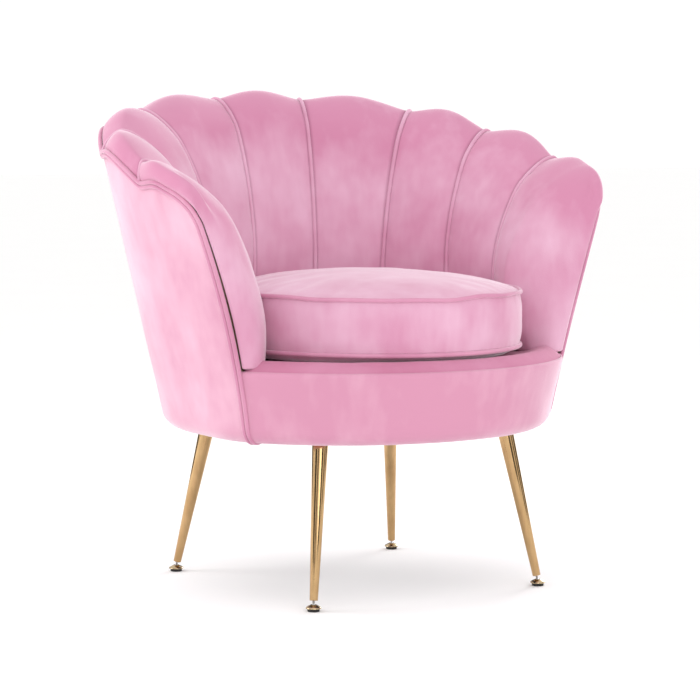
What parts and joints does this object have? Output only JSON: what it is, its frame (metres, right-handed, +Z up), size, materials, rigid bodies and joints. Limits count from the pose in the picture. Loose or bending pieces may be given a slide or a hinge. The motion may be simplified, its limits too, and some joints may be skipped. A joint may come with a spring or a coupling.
{
  "type": "upholstered tub armchair",
  "caption": "Round tub armchair with a scalloped channel back wrapping into the arms, a loose oval seat cushion and slim splayed tapered metal legs on swivel feet.",
  "frame": {"origin": "on the floor, under the middle of the chair", "axes": "+Z up, -Y to the front of the seat, +X to the right as seen from the front"},
  "size_m": [0.7962, 0.6623, 0.765],
  "materials": {
    "velvet_back": "cut-pile velvet, channelled",
    "velvet_outside": "cut-pile velvet, smooth",
    "velvet_deck": "cut-pile velvet, smooth",
    "velvet_cushion": "cut-pile velvet, smooth",
    "velvet_welt": "cut-pile velvet on cord",
    "plywood": "bare bent plywood",
    "foam": "open-cell seat foam",
    "dust_cloth": "black non-woven dust cloth",
    "spring_steel": "bare drawn wire",
    "clip_plastic": "moulded",
    "zinc_steel": "zinc plated",
    "leg_metal": "polished gold plating on steel tube",
    "foot_metal": "polished gold plating",
    "foot_rubber": "matt black"
  },
  "bodies": {
    "frame": {"base_board": "plywood", "dust_cover": "dust_cloth", "front_rail": "plywood", "front_apron": "velvet_outside", "spring_ring": "plywood", "spring_clip_rail_back": "clip_plastic", "spring_clip_rail_front": "clip_plastic", "zigzag_spring_1": "spring_steel", "zigzag_spring_2": "spring_steel", "zigzag_spring_3": "spring_steel", "zigzag_spring_4": "spring_steel", "deck_foam": "foam", "deck_cover": "velvet_deck", "back_panel": "plywood", "outer_cover": "velvet_outside", "back_channel_1": "velvet_back", "back_channel_2": "velvet_back", "back_channel_3": "velvet_back", "back_channel_4": "velvet_back", "back_channel_5": "velvet_back", "back_channel_6": "velvet_back", "back_channel_7": "velvet_back", "back_channel_8": "velvet_back", "back_channel_9": "velvet_back", "double_welt": "velvet_welt", "leg_plate_front_left": "zinc_steel", "leg_screw_front_left_1": "zinc_steel", "leg_screw_front_left_2": "zinc_steel", "leg_screw_front_left_3": "zinc_steel", "leg_front_left": "leg_metal", "leg_plate_back_left": "zinc_steel", "leg_screw_back_left_1": "zinc_steel", "leg_screw_back_left_2": "zinc_steel", "leg_screw_back_left_3": "zinc_steel", "leg_back_left": "leg_metal", "leg_plate_front_right": "zinc_steel", "leg_screw_front_right_1": "zinc_steel", "leg_screw_front_right_2": "zinc_steel", "leg_screw_front_right_3": "zinc_steel", "leg_front_right": "leg_metal", "leg_plate_back_right": "zinc_steel", "leg_screw_back_right_1": "zinc_steel", "leg_screw_back_right_2": "zinc_steel", "leg_screw_back_right_3": "zinc_steel", "leg_back_right": "leg_metal"},
    "cushion": {"seat_cushion": "velvet_cushion", "cushion_piping_bottom": "velvet_welt", "cushion_piping_top": "velvet_welt"},
    "stud_front_left": {"foot_stud_front_left": "zinc_steel"},
    "foot_front_left": {"foot_cup_front_left": "foot_metal", "foot_pad_front_left": "foot_rubber"},
    "stud_back_left": {"foot_stud_back_left": "zinc_steel"},
    "foot_back_left": {"foot_cup_back_left": "foot_metal", "foot_pad_back_left": "foot_rubber"},
    "stud_front_right": {"foot_stud_front_right": "zinc_steel"},
    "foot_front_right": {"foot_cup_front_right": "foot_metal", "foot_pad_front_right": "foot_rubber"},
    "stud_back_right": {"foot_stud_back_right": "zinc_steel"},
    "foot_back_right": {"foot_cup_back_right": "foot_metal", "foot_pad_back_right": "foot_rubber"}
  },
  "joints": [
    {"name": "cushion_lift", "type": "slide", "parent": "frame", "child": "cushion", "axis": [0, 0, 1], "range_m": [0, 0.45]},
    {"name": "level_front_left", "type": "slide", "parent": "frame", "child": "stud_front_left", "axis": [-0.1502, -0.1637, -0.975], "range_m": [-0.003, 0.007]},
    {"name": "swivel_front_left", "type": "hinge", "parent": "stud_front_left", "child": "foot_front_left", "pos_m": [-0.20294, -0.22108, 0.0081], "axis": [0.7367, -0.6762, 0], "range_deg": [-9, 9]},
    {"name": "level_back_left", "type": "slide", "parent": "frame", "child": "stud_back_left", "axis": [-0.1419, 0.1911, -0.9713], "range_m": [-0.003, 0.007]},
    {"name": "swivel_back_left", "type": "hinge", "parent": "stud_back_left", "child": "foot_back_left", "pos_m": [-0.20504, 0.1939, 0.0081], "axis": [-0.803, -0.596, 0], "range_deg": [-9, 9]},
    {"name": "level_front_right", "type": "slide", "parent": "frame", "child": "stud_front_right", "axis": [0.1502, -0.1637, -0.975], "range_m": [-0.003, 0.007]},
    {"name": "swivel_front_right", "type": "hinge", "parent": "stud_front_right", "child": "foot_front_right", "pos_m": [0.20294, -0.22108, 0.0081], "axis": [0.7367, 0.6762, 0], "range_deg": [-9, 9]},
    {"name": "level_back_right", "type": "slide", "parent": "frame", "child": "stud_back_right", "axis": [0.1419, 0.1911, -0.9713], "range_m": [-0.003, 0.007]},
    {"name": "swivel_back_right", "type": "hinge", "parent": "stud_back_right", "child": "foot_back_right", "pos_m": [0.20504, 0.1939, 0.0081], "axis": [-0.803, 0.596, 0], "range_deg": [-9, 9]}
  ]
}
